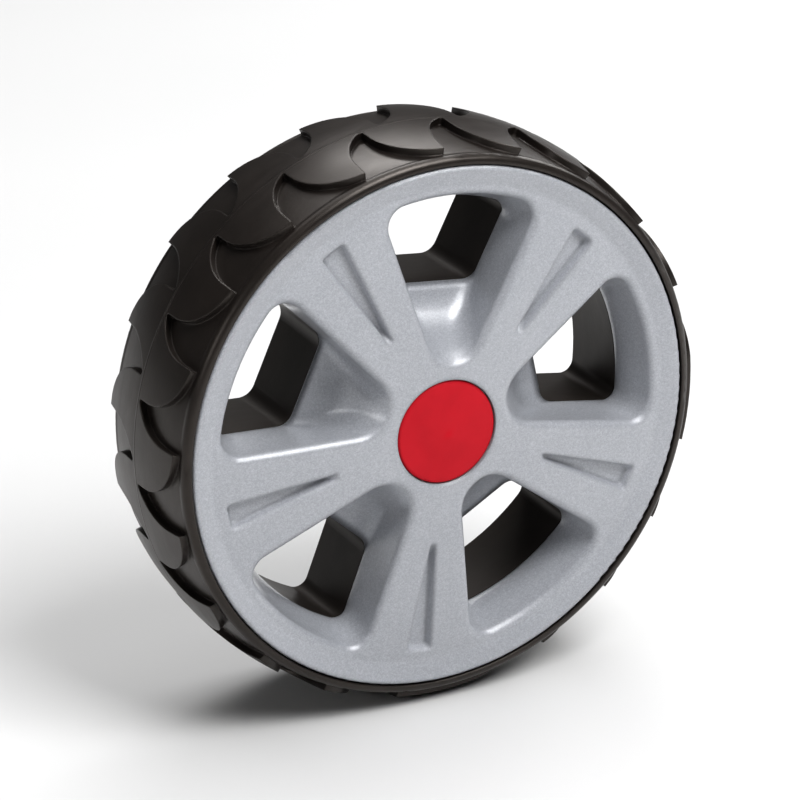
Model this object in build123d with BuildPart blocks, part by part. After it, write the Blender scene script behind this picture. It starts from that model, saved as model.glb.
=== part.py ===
"""Garden machine wheel: treaded tyre, moulded rim on a roller bearing, spoked cover and centre cap.

The axle runs along Y through the origin, the front looks along -Y and Z is up. Plane.XZ is the
wheel plane: its normal points to the front, so axial places are heights above it. Shapes that
repeat round the wheel are drawn along +X on the bench, with Z for the height, and then patterned.
"""

import os
from math import acos, cos, pi, radians, sin, tan

from build123d import *

# Tyre, in millimetres and degrees
tread_diameter = 200.0
shoulder_diameter = 195.0
tread_width = 48.6
tyre_width = 55.5
tyre_wall = 6.2
lug_height = 2.6
lug_count = 21
lug_reach = 18.0
lug_sweep_radius = 18.0
lug_straight_end = 18.5
lug_tip_setback = 0.6
lug_tip_radius = 0.9
lug_end_width = 1.2
front_lug_angle = 3.4
rear_lug_angle = 3.2
lip_wall = 3.1
lip_round = 2.5
seat_depth = 3.4

# Rim
drum_wall = 3.4
flange_thickness = 2.8
web_front = 8.2
web_thickness = 3.4
tunnel_rear = -21.3
tunnel_wall = 2.6
tunnel_flare = 0.6
rib_thickness = 2.4
rib_rear = -20.0
rim_ribs_per_window = 3
rim_rib_step = 13.0

# Cover
cover_diameter = 183.2
cover_edge = 28.0
hub_face = 29.8
crease_diameter = 168.4
crease_height = 25.8
face_crown = 0.3
cover_plate = 2.4
cover_edge_round = 1.1
spoke_count = 5
first_window_angle = 12.0
window_splay = 23.8
window_middle = 58.8
window_half_width = 21.9
window_hub_end = 22.0
window_rim_end = 81.0
window_nose_radius = 8.5
window_corner_radius = 7.0
window_edge_round = 2.5
lip_height = 24.6
lip_hub_end = 27.0
lip_nose_radius = 10.0
scoop_height = 18.0
scoop_hub_end = 31.0
scoop_nose_radius = 10.0
seam_splay = 21.0
seam_hub_end = 45.8
seam_rim_end = 76.8
seam_half_width = 20.8
seam_hub_radius = 5.5
seam_rim_radius = 4.0
sleeve_wall = 2.2
groove_inner_end = 40.5
groove_floor_end = 45.0
groove_outer_end = 80.2
groove_tip_width = 2.0
groove_tip_slope = 0.5
groove_tip_radius = 0.4
groove_outer_width = 9.4
groove_corner_radius = 1.3
groove_depth = 3.0
groove_side_slope = 1.1
groove_wall = 1.8
groove_edge_round = 0.6
section_offset = 8.0
hook_radius = 60.0
hook_spacing = 19.0
hook_width = 6.0
hook_thickness = 2.0
hook_catch = 1.1
hook_land = 0.8
hook_lead = 3.0

# Centre cap
cap_diameter = 36.2
cap_thickness = 2.2
cap_crown = 0.6
cap_edge_round = 0.7
cap_sink = 0.5
cap_skirt_diameter = 30.6
cap_skirt_wall = 1.6
cap_skirt_length = 6.0
cap_barb = 0.8
cap_slot_width = 3.0
cap_slot_count = 4
cap_ledge = 2.0

# Hub and roller bearing
axle_diameter = 12.0
sleeve_tube_wall = 2.0
roller_diameter = 4.0
roller_length = 30.0
roller_count = 8
liner_wall = 1.5
hub_wall = 4.2
hub_front = 16.0
hub_rear = -26.0
retainer_thickness = 3.2
retainer_step = 2.0
retainer_chamfer = 0.6
sleeve_stand_off = 1.0
cage_thickness = 1.8
cage_end = 2.0

# Clearances
cover_gap = 0.4
seam_gap = 0.3
tyre_gap = 0.25
cap_gap = 0.4
snap_gap = 0.3
collar_gap = 0.3
roller_gap = 0.06
pocket_gap = 0.15
running_gap = 0.3
slot_gap = 0.5
merge = 0.5

# Derived sizes
crown_radius = tread_diameter / 2
shoulder_radius = shoulder_diameter / 2
tread_half = tread_width / 2
tyre_half = tyre_width / 2
cover_radius = cover_diameter / 2
mouth_radius = cover_radius + cover_gap
floor_crown = crown_radius - lug_height
floor_shoulder = mouth_radius + lip_wall
band_inner = floor_shoulder - merge
tyre_bore = floor_shoulder - tyre_wall
seat_height = tyre_half - seat_depth
drum_radius = tyre_bore - tyre_gap
drum_inner = drum_radius - drum_wall
web_rear = web_front - web_thickness
sleeve_end = web_front + seam_gap
crease_radius = crease_diameter / 2
cap_radius = cap_diameter / 2
cap_seat_radius = cap_radius + cap_gap
cap_seat = hub_face - cap_sink - cap_thickness
face_slope = (hub_face - crease_height) / (crease_radius - cap_seat_radius)
face_apex = hub_face + face_slope * cap_seat_radius
skirt_radius = cap_skirt_diameter / 2
crown_of_cap = (cap_radius**2 + cap_crown**2) / (2 * cap_crown)
ledge_radius = skirt_radius + snap_gap
axle_radius = axle_diameter / 2
race_radius = axle_radius + sleeve_tube_wall
roller_radius = roller_diameter / 2
pitch_radius = race_radius + roller_radius + roller_gap
liner_inner = pitch_radius + roller_radius + roller_gap
liner_outer = liner_inner + liner_wall
retainer_radius = liner_outer + retainer_step
hub_radius = retainer_radius + hub_wall - retainer_step
collar_inner = hub_radius + collar_gap
collar_outer = collar_inner + sleeve_wall
bearing_front = hub_front - retainer_thickness
bearing_rear = hub_rear + retainer_thickness
bearing_middle = (bearing_front + bearing_rear) / 2
bearing_length = bearing_front - bearing_rear
spoke_angle = 360 / spoke_count
first_spoke_angle = first_window_angle + spoke_angle / 2
hook_inner = (hook_spacing - hook_thickness) / 2
hook_outer = hook_inner + hook_thickness
slot_inner = hook_inner - hook_catch - slot_gap
slot_outer = hook_outer + snap_gap
slot_middle = (slot_inner + slot_outer) / 2
hook_root = face_apex - face_slope * hook_radius - cover_plate / 2
lug_pitch = 2 * pi * shoulder_radius / lug_count
lug_step = 360 / lug_count

# Section plane: X is the radius and Y the height above the wheel plane. It stands between a
# window and a groove, so that the seam of a revolved face crosses neither.
seam_turn = radians(first_spoke_angle - section_offset)
section = Plane(
    origin=(0, 0, 0),
    x_dir=(cos(seam_turn), 0, sin(seam_turn)),
    z_dir=(sin(seam_turn), 0, -cos(seam_turn)),
)

# Face plane of a spoke on the bench: its X runs outwards down the face's slope
face_plane = Plane(origin=(0, 0, face_apex), x_dir=(1, 0, -face_slope), z_dir=(face_slope, 0, 1))


def face_arc(depth, start_radius):
    """The cover's crowned face in section, lowered by a depth, out to the crease."""
    middle_radius = (start_radius + crease_radius) / 2
    middle_height = (hub_face + crease_height) / 2 + face_crown
    return ThreePointArc(
        (start_radius, hub_face - depth),
        (middle_radius, middle_height - depth),
        (crease_radius, crease_height - depth),
    )


def window_outline(hub_end, rim_end, half_width, splay, hub_radius, rim_radius, grow=0.0):
    """A splayed window along +X: a rounded hub end and an arc at the rim, grown by a wall."""
    slope = tan(radians(splay))
    inner = hub_end - grow
    outer = rim_end + grow
    middle_half = half_width + grow / cos(radians(splay))
    inner_half = middle_half - (window_middle - inner) * slope
    outer_half = middle_half + (outer - window_middle) * slope
    with BuildSketch(mode=Mode.PRIVATE) as outline:
        with BuildLine():
            Polyline(
                (inner, -inner_half),
                (outer, -outer_half),
                (outer, outer_half),
                (inner, inner_half),
                close=True,
            )
        make_face()
        Circle(outer, mode=Mode.INTERSECT)
        fillet(outline.vertices().sort_by(Axis.X)[:2], hub_radius + grow)
        fillet(outline.vertices().sort_by(Axis.X)[-2:], rim_radius + grow)
    return outline.sketch


def seam_outline(grow=0.0):
    """The window's outline where the cover's sleeve meets the rim's tunnel."""
    return window_outline(
        seam_hub_end,
        seam_rim_end,
        seam_half_width,
        seam_splay,
        seam_hub_radius,
        seam_rim_radius,
        grow,
    )


def cover_window(grow=0.0):
    """The cover's window, lofted from its face past a rolled lip and a scoop to the rim's seam."""
    scoop_rim_end = (window_rim_end + seam_rim_end) / 2
    scoop_half_width = (window_half_width + seam_half_width) / 2
    scoop_splay = (window_splay + seam_splay) / 2
    face = window_outline(
        window_hub_end,
        window_rim_end,
        window_half_width,
        window_splay,
        window_nose_radius,
        window_corner_radius,
        grow,
    )
    lip = window_outline(
        lip_hub_end,
        window_rim_end,
        window_half_width,
        window_splay,
        lip_nose_radius,
        window_corner_radius,
        grow,
    )
    scoop = window_outline(
        scoop_hub_end,
        scoop_rim_end,
        scoop_half_width,
        scoop_splay,
        scoop_nose_radius,
        window_corner_radius,
        grow,
    )
    with BuildPart(mode=Mode.PRIVATE) as window:
        for height, outline in (
            (hub_face + merge, face),
            (lip_height, lip),
            (scoop_height, scoop),
            (sleeve_end, seam_outline(grow)),
        ):
            with BuildSketch(Plane.XY.offset(height)):
                add(outline)
        loft()
        if grow:
            with BuildSketch(Plane.XZ):
                with BuildLine():
                    face_arc(cover_plate / 2, 0)
                    Polyline(
                        (crease_radius, crease_height - cover_plate / 2),
                        (crease_radius, hub_face + 2 * merge),
                        (0, hub_face + 2 * merge),
                        (0, hub_face - cover_plate / 2),
                    )
                make_face()
            revolve(axis=Axis.Z, mode=Mode.SUBTRACT)
    return window.part


def rim_window(front, grow=0.0):
    """The rim's window tunnel, flaring slightly from its front end to the rear."""
    with BuildPart(mode=Mode.PRIVATE) as tunnel:
        for height, flare in ((front, 0.0), (tunnel_rear, tunnel_flare)):
            with BuildSketch(Plane.XY.offset(height)):
                add(seam_outline(grow + flare))
        loft(ruled=True)
    return tunnel.part


def groove_outline(height, grow):
    """A spoke's tapered groove in plan, at a height above the face's plane, grown by a wall."""
    rise = 1 + height / groove_depth
    inner = groove_floor_end + (groove_inner_end - groove_floor_end) * rise - grow
    outer = groove_outer_end + groove_side_slope * (rise - 1) + grow
    inner_half = groove_tip_width / 2 + groove_tip_slope * (rise - 1) + grow
    outer_half = groove_outer_width / 2 + groove_side_slope * (rise - 1) + grow
    with BuildSketch(mode=Mode.PRIVATE) as outline:
        with BuildLine():
            Polyline(
                (inner, -inner_half),
                (outer, -outer_half),
                (outer, outer_half),
                (inner, inner_half),
                close=True,
            )
        make_face()
        fillet(outline.vertices().sort_by(Axis.X)[:2], groove_tip_radius + grow)
        fillet(outline.vertices().sort_by(Axis.X)[-2:], groove_corner_radius + grow)
    return outline.sketch


def spoke_groove(floor, top, grow=0.0):
    """A spoke's groove along +X with sloped sides, between two heights above the face's plane."""
    with BuildPart(mode=Mode.PRIVATE) as groove:
        for height in (floor, top):
            with BuildSketch(face_plane.offset(height)):
                add(groove_outline(height + grow, grow))
        loft(ruled=True)
    return groove.part


def hook_pair():
    """Two snap hooks along +X that pass through the web's slots and catch behind it."""
    catch_top = web_rear - seam_gap
    tip = web_rear - hook_lead
    with BuildPart(mode=Mode.PRIVATE) as hooks:
        with BuildSketch(Plane.YZ.offset(hook_radius - hook_width / 2)):
            with BuildLine():
                Polyline(
                    (hook_inner, hook_root),
                    (hook_inner, tip),
                    (hook_outer, tip),
                    (hook_outer + hook_catch, catch_top - hook_land),
                    (hook_outer + hook_catch, catch_top),
                    (hook_outer, catch_top),
                    (hook_outer, hook_root),
                    close=True,
                )
            make_face()
        extrude(amount=hook_width)
        mirror(about=Plane.XZ)
    return hooks.part


def lug_recess():
    """The gap between two lugs, drawn on the tread at +X: X runs round the wheel, Y to the front."""
    left = -lug_pitch / 2
    right = lug_pitch / 2
    tip = left + lug_reach
    sweep_turn = acos((lug_end_width + lug_sweep_radius - lug_reach) / lug_sweep_radius)
    start = (left + lug_end_width, tread_half)
    foot = (tip, tread_half - lug_sweep_radius * sin(sweep_turn))
    point = (tip, lug_tip_setback)
    back = (right, lug_straight_end)
    outside = tread_half + merge
    with BuildPart(mode=Mode.PRIVATE) as recess:
        with BuildSketch(Plane.YZ.offset(band_inner - merge)) as outline:
            with BuildLine():
                RadiusArc(start, foot, lug_sweep_radius)
                Line(foot, point)
                TangentArc(back, point, tangent=(0, -1))
                Polyline(back, (right, outside), (left + lug_end_width, outside), start)
            make_face()
            fillet(outline.vertices().sort_by(Axis.Y)[0], lug_tip_radius)
        extrude(amount=crown_radius - band_inner + 2 * merge)
    return recess.part


# Tyre: a ring with rounded lips, carrying a crowned band that the recesses cut into lugs
with BuildPart() as lug_band:
    with BuildSketch(section):
        with BuildLine():
            ThreePointArc(
                (shoulder_radius, -tread_half), (crown_radius, 0), (shoulder_radius, tread_half)
            )
            Polyline(
                (shoulder_radius, tread_half),
                (band_inner, tread_half),
                (band_inner, -tread_half),
                (shoulder_radius, -tread_half),
            )
        make_face()
    revolve(axis=Axis.Y)
    front_recess = lug_recess()
    rear_recess = front_recess.rotate(Axis.X, 180)
    with Locations(Plane.XZ):
        with PolarLocations(0, lug_count, start_angle=front_lug_angle + lug_step / 2):
            add(front_recess, mode=Mode.SUBTRACT)
        with PolarLocations(0, lug_count, start_angle=rear_lug_angle - lug_step / 2):
            add(rear_recess, mode=Mode.SUBTRACT)

with BuildPart() as tyre:
    with BuildSketch(section) as tyre_section:
        with BuildLine():
            ThreePointArc(
                (floor_shoulder, -tread_half), (floor_crown, 0), (floor_shoulder, tread_half)
            )
            Polyline(
                (floor_shoulder, tread_half),
                (floor_shoulder, tyre_half),
                (mouth_radius, tyre_half),
                (mouth_radius, seat_height),
                (tyre_bore, seat_height),
                (tyre_bore, -seat_height),
                (mouth_radius, -seat_height),
                (mouth_radius, -tyre_half),
                (floor_shoulder, -tyre_half),
                (floor_shoulder, -tread_half),
            )
        make_face()
        lip_corners = tyre_section.vertices().group_by(Axis.X)[-1]
        fillet(lip_corners.filter_by(lambda v: abs(v.Y) > tread_half + merge), lip_round)
    revolve(axis=Axis.Y)
    add(lug_band.part)

# Rim: a drum with a rear flange, a web with window tunnels, ribs and a hub
with BuildPart() as wheel_rim:
    with BuildSketch(section):
        with BuildLine():
            Polyline(
                (drum_inner, seat_height),
                (drum_radius, seat_height),
                (drum_radius, -seat_height),
                (cover_radius, -seat_height),
                (cover_radius, -seat_height - flange_thickness),
                (drum_inner, -seat_height - flange_thickness),
                close=True,
            )
        make_face()
        with BuildLine():
            Polyline(
                (liner_outer + merge, web_rear),
                (drum_inner + merge, web_rear),
                (drum_inner + merge, web_front),
                (liner_outer + merge, web_front),
                close=True,
            )
        make_face()
        with BuildLine():
            Polyline(
                (retainer_radius, hub_front),
                (hub_radius, hub_front),
                (hub_radius, hub_rear),
                (retainer_radius, hub_rear),
                (retainer_radius, bearing_rear),
                (liner_outer, bearing_rear),
                (liner_outer, bearing_front),
                (retainer_radius, bearing_front),
                close=True,
            )
        make_face()
    revolve(axis=Axis.Y)
    with BuildSketch(Plane.XZ.offset(web_rear + merge)):
        with PolarLocations((hub_radius + drum_inner) / 2, spoke_count, start_angle=first_spoke_angle):
            Rectangle(drum_inner - hub_radius + 2 * merge, rib_thickness)
        for place in range(rim_ribs_per_window):
            turn = (place - (rim_ribs_per_window - 1) / 2) * rim_rib_step
            rib_inner = seam_rim_end + tunnel_wall / 2
            with PolarLocations(
                (rib_inner + drum_inner + merge) / 2,
                spoke_count,
                start_angle=first_window_angle + turn,
            ):
                Rectangle(drum_inner + merge - rib_inner, rib_thickness)
    extrude(amount=rib_rear - web_rear)
    with Locations(Plane.XZ):
        with PolarLocations(0, spoke_count, start_angle=first_window_angle):
            add(rim_window(web_front, tunnel_wall))
        with PolarLocations(0, spoke_count, start_angle=first_window_angle):
            add(rim_window(web_front), mode=Mode.SUBTRACT)
    with BuildSketch(Plane.XZ.offset(web_front)):
        with PolarLocations(0, spoke_count, start_angle=first_spoke_angle):
            with Locations((hook_radius, slot_middle), (hook_radius, -slot_middle)):
                Rectangle(hook_width + 2 * slot_gap, slot_outer - slot_inner)
    extrude(amount=-web_thickness, mode=Mode.SUBTRACT)

# Cover: a dished plate with window sleeves, grooved spokes, a collar and snap hooks
with BuildPart() as wheel_cover:
    with BuildSketch(section) as cover_section:
        with BuildLine():
            face_arc(0, cap_seat_radius)
            Polyline(
                (crease_radius, crease_height),
                (cover_radius, cover_edge),
                (cover_radius, seat_height),
                (drum_inner - cover_gap, seat_height),
                (crease_radius, crease_height - cover_plate),
            )
            face_arc(cover_plate, collar_outer)
            Polyline(
                (collar_outer, hub_face - cover_plate),
                (collar_outer, sleeve_end),
                (collar_inner, sleeve_end),
                (collar_inner, cap_seat - cap_ledge),
                (ledge_radius, cap_seat - cap_ledge),
                (ledge_radius, cap_seat),
                (cap_seat_radius, cap_seat),
                (cap_seat_radius, hub_face),
            )
        make_face()
        edge_corner = cover_section.vertices().group_by(Axis.X)[-1].sort_by(Axis.Y)[-1]
        fillet(edge_corner, cover_edge_round)
    revolve(axis=Axis.Y)
    with Locations(Plane.XZ):
        with PolarLocations(0, spoke_count, start_angle=first_window_angle):
            add(cover_window(sleeve_wall))
        with PolarLocations(0, spoke_count, start_angle=first_window_angle):
            add(cover_window(), mode=Mode.SUBTRACT)
        with PolarLocations(0, spoke_count, start_angle=first_spoke_angle):
            add(spoke_groove(-groove_depth - groove_wall, -cover_plate / 2, groove_wall))
            add(hook_pair())
            add(spoke_groove(-groove_depth, face_crown + merge), mode=Mode.SUBTRACT)
    dome = wheel_cover.faces().sort_by(SortBy.AREA)[-1]
    face_wires = dome.inner_wires().sort_by(SortBy.LENGTH)
    window_edges = face_wires[spoke_count:].edges()
    groove_edges = face_wires[:spoke_count].edges()
    fillet(window_edges, window_edge_round)
    fillet(groove_edges, groove_edge_round)

# Centre cap: a crowned disc on a split skirt that snaps behind the cover's ledge
with BuildPart() as centre_cap:
    with BuildSketch(section) as cap_section:
        with BuildLine():
            cap_edge = cap_seat + cap_thickness
            skirt_end = cap_seat - cap_skirt_length
            barb_top = cap_seat - cap_ledge - snap_gap
            RadiusArc((0, cap_edge + cap_crown), (cap_radius, cap_edge), crown_of_cap)
            Polyline(
                (cap_radius, cap_edge),
                (cap_radius, cap_seat),
                (skirt_radius, cap_seat),
                (skirt_radius, barb_top),
                (skirt_radius + cap_barb, barb_top),
                (skirt_radius, skirt_end),
                (skirt_radius - cap_skirt_wall, skirt_end),
                (skirt_radius - cap_skirt_wall, cap_seat),
                (0, cap_seat),
                (0, cap_edge + cap_crown),
            )
        make_face()
        fillet(cap_section.vertices().group_by(Axis.X)[-1].sort_by(Axis.Y)[-1], cap_edge_round)
    revolve(axis=Axis.Y)
    with BuildSketch(Plane.XZ.offset(cap_seat)):
        with PolarLocations(skirt_radius, cap_slot_count):
            Rectangle(2 * (cap_skirt_wall + cap_barb), cap_slot_width)
    extrude(amount=-cap_skirt_length, mode=Mode.SUBTRACT)

# Roller bearing: a pressed-in liner, a cage of rollers and the sleeve that the axle goes through
with BuildPart() as hub_liner:
    with BuildSketch(Plane.XZ.offset(bearing_rear)):
        Circle(liner_outer)
        Circle(liner_inner, mode=Mode.SUBTRACT)
    extrude(amount=bearing_length)

with BuildPart() as rollers:
    with BuildSketch(Plane.XZ.offset(bearing_middle - roller_length / 2)):
        with PolarLocations(pitch_radius, roller_count):
            Circle(roller_radius)
    extrude(amount=roller_length)

with BuildPart() as roller_cage:
    pocket_length = roller_length + 2 * pocket_gap
    cage_length = pocket_length + 2 * cage_end
    with BuildSketch(Plane.XZ.offset(bearing_middle - cage_length / 2)):
        Circle(pitch_radius + cage_thickness / 2)
        Circle(pitch_radius - cage_thickness / 2, mode=Mode.SUBTRACT)
    extrude(amount=cage_length)
    with BuildSketch(Plane.XZ.offset(bearing_middle - pocket_length / 2)):
        with PolarLocations(pitch_radius, roller_count):
            Circle(roller_radius + pocket_gap)
    extrude(amount=pocket_length, mode=Mode.SUBTRACT)

with BuildPart() as axle_sleeve:
    with BuildSketch(Plane.XZ.offset(hub_rear - sleeve_stand_off)):
        Circle(race_radius)
        Circle(axle_radius, mode=Mode.SUBTRACT)
    extrude(amount=hub_front - hub_rear + 2 * sleeve_stand_off)

with BuildPart() as front_retainer:
    with BuildSketch(Plane.XZ.offset(bearing_front)):
        Circle(retainer_radius)
        Circle(race_radius + running_gap, mode=Mode.SUBTRACT)
    extrude(amount=retainer_thickness)
    chamfer(front_retainer.faces().sort_by(Axis.Y)[0].edges(), retainer_chamfer)

with BuildPart() as rear_retainer:
    add(front_retainer.part.mirror(Plane.XZ.offset(bearing_middle)))

pieces = {
    "tyre": tyre,
    "wheel_rim": wheel_rim,
    "wheel_cover": wheel_cover,
    "centre_cap": centre_cap,
    "hub_liner": hub_liner,
    "rollers": rollers,
    "roller_cage": roller_cage,
    "axle_sleeve": axle_sleeve,
    "front_retainer": front_retainer,
    "rear_retainer": rear_retainer,
}
os.makedirs("parts", exist_ok=True)
for name, piece in pieces.items():
    piece.part.label = name
    export_step(piece.part, f"parts/{name}.step")
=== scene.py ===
"""Looks of the garden machine wheel: its materials, the floor, the lights and the photo's camera."""

from math import cos, radians, sin

import bpy
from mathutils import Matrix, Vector


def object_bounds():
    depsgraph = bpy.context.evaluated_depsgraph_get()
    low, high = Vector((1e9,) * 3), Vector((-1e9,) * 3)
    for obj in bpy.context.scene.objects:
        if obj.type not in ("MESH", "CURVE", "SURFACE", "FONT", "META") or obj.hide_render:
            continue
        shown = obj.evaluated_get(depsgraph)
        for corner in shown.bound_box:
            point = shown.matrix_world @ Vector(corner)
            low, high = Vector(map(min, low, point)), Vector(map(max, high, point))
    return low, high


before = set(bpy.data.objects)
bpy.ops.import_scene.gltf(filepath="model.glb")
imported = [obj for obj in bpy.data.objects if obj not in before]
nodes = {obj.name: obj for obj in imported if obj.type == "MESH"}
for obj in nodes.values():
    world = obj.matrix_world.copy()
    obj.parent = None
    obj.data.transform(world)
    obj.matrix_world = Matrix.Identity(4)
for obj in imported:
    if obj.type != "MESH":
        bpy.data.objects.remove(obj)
cad_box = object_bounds()
scene = bpy.context.scene

# Camera: the photo's direction in degrees, its distance and aim in metres, its lens in millimetres
CAMERA_AZIMUTH = -27.7
CAMERA_ELEVATION = 22.3
CAMERA_DISTANCE = 1.383
CAMERA_AIM = Vector((-0.0112, -0.0176, 0.0093))
CAMERA_LENS = 187.9
SENSOR_WIDTH = 36.0

# Studio: how far the floor runs each way in metres, and the even light all round
FLOOR_REACH = 6.0
WHITE = (1.0, 1.0, 1.0)
WORLD_STRENGTH = 0.08

# Colours of each material, in its darker and its lighter clouds
TYRE_BLACK = ((0.012, 0.0096, 0.0084), (0.019, 0.0152, 0.0133))
RIM_BLACK = ((0.022, 0.0181, 0.0158), (0.031, 0.0257, 0.0226))
COVER_GREY = ((0.38, 0.392, 0.42), (0.405, 0.417, 0.445))
CAP_RED = ((0.48, 0.011, 0.022), (0.55, 0.014, 0.027))
BEARING_STEEL = ((0.50, 0.50, 0.51), (0.60, 0.60, 0.61))
CAGE_NYLON = ((0.62, 0.57, 0.46), (0.70, 0.65, 0.54))
FLOOR_WHITE = ((0.67, 0.67, 0.67), (0.69, 0.69, 0.69))
WARM_GLOSS = (1.0, 0.92, 0.86, 1.0)

# Noise: how rough it is, and the two values that most of it lies between
NOISE_ROUGHNESS = 0.55
NOISE_LOW = 0.3
NOISE_HIGH = 0.7

# Flakes up to this share are darker than the body, and the rest are brighter
DARK_FLAKES = 0.6

# Rays that round off an edge in a material
EDGE_SAMPLES = 4


class MaterialTree:
    """A material's node tree with its Principled shader, and calls that add the textures."""

    def __init__(self, name):
        self.material = bpy.data.materials.new(name)
        self.material.use_nodes = True
        self.tree = self.material.node_tree
        self.shader = self.tree.nodes["Principled BSDF"]
        self.coords = self.tree.nodes.new("ShaderNodeTexCoord").outputs["Object"]

    def add(self, kind, **inputs):
        node = self.tree.nodes.new(kind)
        self.fill(node, inputs)
        return node

    def fill(self, node, inputs):
        for key, value in inputs.items():
            self.feed(node.inputs[key.replace("_", " ")], value)

    def feed(self, socket, value):
        if isinstance(value, bpy.types.NodeSocket):
            self.tree.links.new(value, socket)
        else:
            socket.default_value = value

    def stretched(self, scale):
        return self.add("ShaderNodeMapping", Vector=self.coords, Scale=scale).outputs["Vector"]

    def noise(self, scale=1.0, detail=3.0, vector=None):
        node = self.add("ShaderNodeTexNoise", Vector=vector or self.coords, Scale=scale, Detail=detail)
        node.inputs["Roughness"].default_value = NOISE_ROUGHNESS
        return node.outputs["Fac"]

    def spread(self, factor, low, high, start=NOISE_LOW, end=NOISE_HIGH):
        """From low to high while the factor goes from start to end."""
        node = self.add(
            "ShaderNodeMapRange", Value=factor, From_Min=start, From_Max=end, To_Min=low, To_Max=high
        )
        return node.outputs["Result"]

    def band(self, inner, outer):
        """One on the wheel's middle plane, falling to nothing a little way off it."""
        along = self.add("ShaderNodeSeparateXYZ", Vector=self.coords).outputs["Y"]
        away = self.tree.nodes.new("ShaderNodeMath")
        away.operation = "ABSOLUTE"
        self.feed(away.inputs[0], along)
        return self.spread(away.outputs[0], low=1.0, high=0.0, start=inner, end=outer)

    def ramp(self, factor, stops):
        node = self.add("ShaderNodeValToRGB", Fac=factor)
        elements = node.color_ramp.elements
        for position, _ in stops[len(elements):]:
            elements.new(position)
        for element, (position, colour) in zip(elements, stops):
            element.position = position
            element.color = (*colour, 1.0)
        return node.outputs["Color"]

    def clouded(self, clouds, colours, end=NOISE_HIGH):
        dark, light = colours
        return self.ramp(clouds, ((NOISE_LOW, dark), (end, light)))

    def flakes(self, scale, dark, bright):
        """Small cells that each darken or brighten the body's colour."""
        cells = self.add("ShaderNodeTexVoronoi", Vector=self.coords, Scale=scale).outputs["Color"]
        shade = self.add("ShaderNodeSeparateColor", Color=cells).outputs["Red"]
        return self.ramp(shade, ((0.0, dark), (DARK_FLAKES, WHITE), (1.0, bright)))

    def multiply(self, first, second):
        node = self.tree.nodes.new("ShaderNodeMix")
        node.data_type = "RGBA"
        node.blend_type = "MULTIPLY"
        self.fill(node, {"Factor": 1.0, "A": first, "B": second})
        return node.outputs["Result"]

    def bump(self, height, strength, distance, below=None):
        node = self.add("ShaderNodeBump", Height=height, Strength=strength, Distance=distance)
        if below:
            self.feed(node.inputs["Normal"], below)
        return node.outputs["Normal"]

    def rounded(self, radius):
        node = self.add("ShaderNodeBevel", Radius=radius)
        node.samples = EDGE_SAMPLES
        return node.outputs["Normal"]

    def surface(self, **inputs):
        self.fill(self.shader, inputs)
        return self.material


def black_plastic(name, colours, gloss, streaks, grain, edge, shine, seam=False):
    """Moulded black: cloudy colour and streaky gloss over a fine grain, with a parting line if asked."""
    look = MaterialTree(name)
    clouds = look.noise(scale=55.0, detail=4.0)
    flow = look.noise(vector=look.stretched((90.0, 240.0, 90.0)))
    fine = look.noise(scale=grain, detail=2.0)
    normal = look.bump(fine, strength=0.25, distance=0.00008, below=look.rounded(edge))
    if seam:
        line = look.band(inner=0.00022, outer=0.00045)
        normal = look.bump(line, strength=0.7, distance=0.0003, below=normal)
    return look.surface(
        Base_Color=look.clouded(clouds, colours, end=0.75),
        Roughness=look.spread(flow, low=gloss - streaks, high=gloss + streaks),
        Normal=look.bump(clouds, strength=0.1, distance=0.0004, below=normal),
        Specular_IOR_Level=shine,
        Specular_Tint=WARM_GLOSS,
    )


def flake_grey():
    """Silver-grey plastic with fine metallic flakes under a satin skin."""
    look = MaterialTree("cover_grey_satin")
    large = look.flakes(scale=1700.0, dark=(0.94, 0.94, 0.95), bright=(1.07, 1.07, 1.07))
    small = look.flakes(scale=3000.0, dark=(0.90, 0.90, 0.91), bright=(1.12, 1.12, 1.12))
    clouds = look.noise(scale=28.0)
    fine = look.noise(scale=1500.0, detail=2.0)
    rounded = look.rounded(radius=0.0022)
    body = look.clouded(clouds, COVER_GREY)
    return look.surface(
        Base_Color=look.multiply(look.multiply(body, large), small),
        Roughness=look.spread(clouds, low=0.30, high=0.36),
        Metallic=0.1,
        Normal=look.bump(fine, strength=0.12, distance=0.00005, below=rounded),
        Coat_Weight=0.7,
        Coat_Roughness=0.2,
        Coat_Normal=rounded,
    )


def gloss_red():
    """Semi-gloss red moulding with faint flow clouds."""
    look = MaterialTree("cap_red_gloss")
    clouds = look.noise(scale=70.0)
    fine = look.noise(scale=1300.0, detail=2.0)
    rounded = look.rounded(radius=0.0018)
    return look.surface(
        Base_Color=look.clouded(clouds, CAP_RED),
        Roughness=look.spread(clouds, low=0.30, high=0.40),
        Normal=look.bump(fine, strength=0.14, distance=0.00005, below=rounded),
        Specular_IOR_Level=0.14,
    )


def ground_steel():
    """Ground steel with fine marks round the axle."""
    look = MaterialTree("bearing_steel_ground")
    marks = look.noise(detail=4.0, vector=look.stretched((180.0, 5200.0, 180.0)))
    clouds = look.noise(scale=120.0)
    return look.surface(
        Base_Color=look.clouded(clouds, BEARING_STEEL),
        Metallic=1.0,
        Roughness=look.spread(marks, low=0.22, high=0.40),
        Normal=look.bump(marks, strength=0.12, distance=0.00004),
    )


def natural_nylon():
    """Natural nylon of the roller cage."""
    look = MaterialTree("cage_nylon")
    clouds = look.noise(scale=140.0)
    fine = look.noise(scale=1600.0, detail=2.0)
    return look.surface(
        Base_Color=look.clouded(clouds, CAGE_NYLON),
        Roughness=look.spread(clouds, low=0.42, high=0.55),
        Normal=look.bump(fine, strength=0.15, distance=0.00005),
    )


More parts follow.
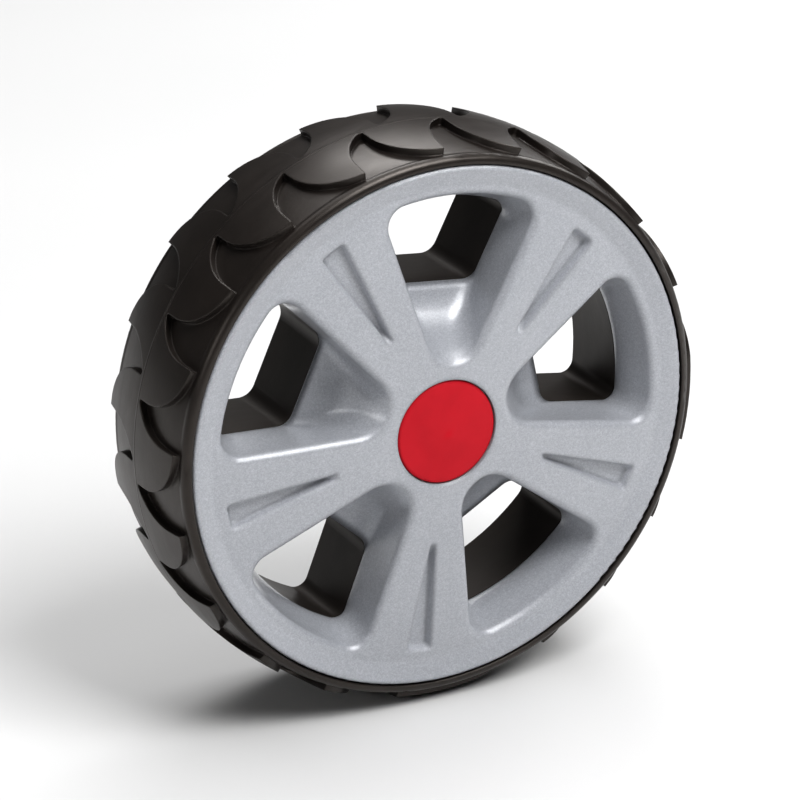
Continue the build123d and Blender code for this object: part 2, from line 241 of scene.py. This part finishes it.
def pale_floor():
    """Matt white studio floor."""
    look = MaterialTree("studio_floor")
    clouds = look.noise(scale=3.0)
    return look.surface(
        Base_Color=look.clouded(clouds, FLOOR_WHITE),
        Roughness=look.spread(clouds, low=0.75, high=0.85),
        Specular_IOR_Level=0.2,
    )


def paint(material, *names):
    """Give these nodes the material, in place of what they were loaded with."""
    for name in names:
        mesh = nodes[name].data
        mesh.materials.clear()
        mesh.materials.append(material)


def place(item, azimuth, elevation, distance):
    """Stand a light or the camera off in this direction, looking back at the wheel."""
    turn = radians(azimuth)
    lift = radians(elevation)
    away = Vector((sin(turn) * cos(lift), -cos(turn) * cos(lift), sin(lift)))
    item.location = away * distance
    item.rotation_euler = away.to_track_quat("Z", "Y").to_euler()
    scene.collection.objects.link(item)


def softbox(name, azimuth, elevation, distance, width, height, power):
    """A rectangular area light."""
    light = bpy.data.lights.new(name, "AREA")
    light.shape = "RECTANGLE"
    light.size = width
    light.size_y = height
    light.energy = power
    place(bpy.data.objects.new(name, light), azimuth, elevation, distance)


def ceiling(name, azimuth, elevation, distance, strength, angle):
    """An even light from above, as wide as a bright ceiling, that keeps the floor pale far off."""
    light = bpy.data.lights.new(name, "SUN")
    light.energy = strength
    light.angle = radians(angle)
    place(bpy.data.objects.new(name, light), azimuth, elevation, distance)


# Materials of the wheel
tyre_plastic = black_plastic(
    "tyre_black_satin", TYRE_BLACK,
    gloss=0.34, streaks=0.03, grain=900.0, edge=0.0008, shine=0.55, seam=True,
)
rim_plastic = black_plastic(
    "rim_black_satin", RIM_BLACK,
    gloss=0.44, streaks=0.02, grain=1200.0, edge=0.0005, shine=0.28,
)
paint(tyre_plastic, "tyre")
paint(rim_plastic, "wheel_rim", "front_retainer", "rear_retainer")
paint(flake_grey(), "wheel_cover")
paint(gloss_red(), "centre_cap")
paint(ground_steel(), "hub_liner", "rollers", "axle_sleeve")
paint(natural_nylon(), "roller_cage")

# Floor at the height of the wheel's lowest point
floor_height = cad_box[0][2]
corners = [(-1, -1), (1, -1), (1, 1), (-1, 1)]
floor_points = [(x * FLOOR_REACH, y * FLOOR_REACH, floor_height) for x, y in corners]
floor_mesh = bpy.data.meshes.new("floor")
floor_mesh.from_pydata(floor_points, [], [(0, 1, 2, 3)])
floor_mesh.materials.append(pale_floor())
floor = bpy.data.objects.new("floor", floor_mesh)
scene.collection.objects.link(floor)

# Lights: directions in degrees, distances and sizes in metres, powers in watts
softbox("key", azimuth=24.0, elevation=55.0, distance=1.6, width=0.9, height=0.8, power=24.0)
softbox("back", azimuth=154.0, elevation=47.0, distance=1.6, width=0.8, height=0.25, power=5.0)
softbox("strip", azimuth=-68.0, elevation=21.0, distance=1.5, width=0.7, height=0.12, power=2.2)
softbox("rear", azimuth=118.0, elevation=26.0, distance=1.6, width=0.8, height=0.5, power=5.0)
ceiling("ceiling", azimuth=160.0, elevation=72.0, distance=2.0, strength=1.25, angle=60.0)

# Even white light all round, and how the picture shows brightness
world = bpy.data.worlds.new("studio")
scene.world = world
world.use_nodes = True
background = world.node_tree.nodes["Background"]
background.inputs["Color"].default_value = (*WHITE, 1.0)
background.inputs["Strength"].default_value = WORLD_STRENGTH
scene.view_settings.view_transform = "Standard"
scene.view_settings.look = "Medium High Contrast"

# The photo's camera
camera_data = bpy.data.cameras.new("camera")
camera_data.lens = CAMERA_LENS
camera_data.sensor_width = SENSOR_WIDTH
camera = bpy.data.objects.new("camera", camera_data)
place(camera, CAMERA_AZIMUTH, CAMERA_ELEVATION, CAMERA_DISTANCE)
camera.location += CAMERA_AIM
scene.camera = camera
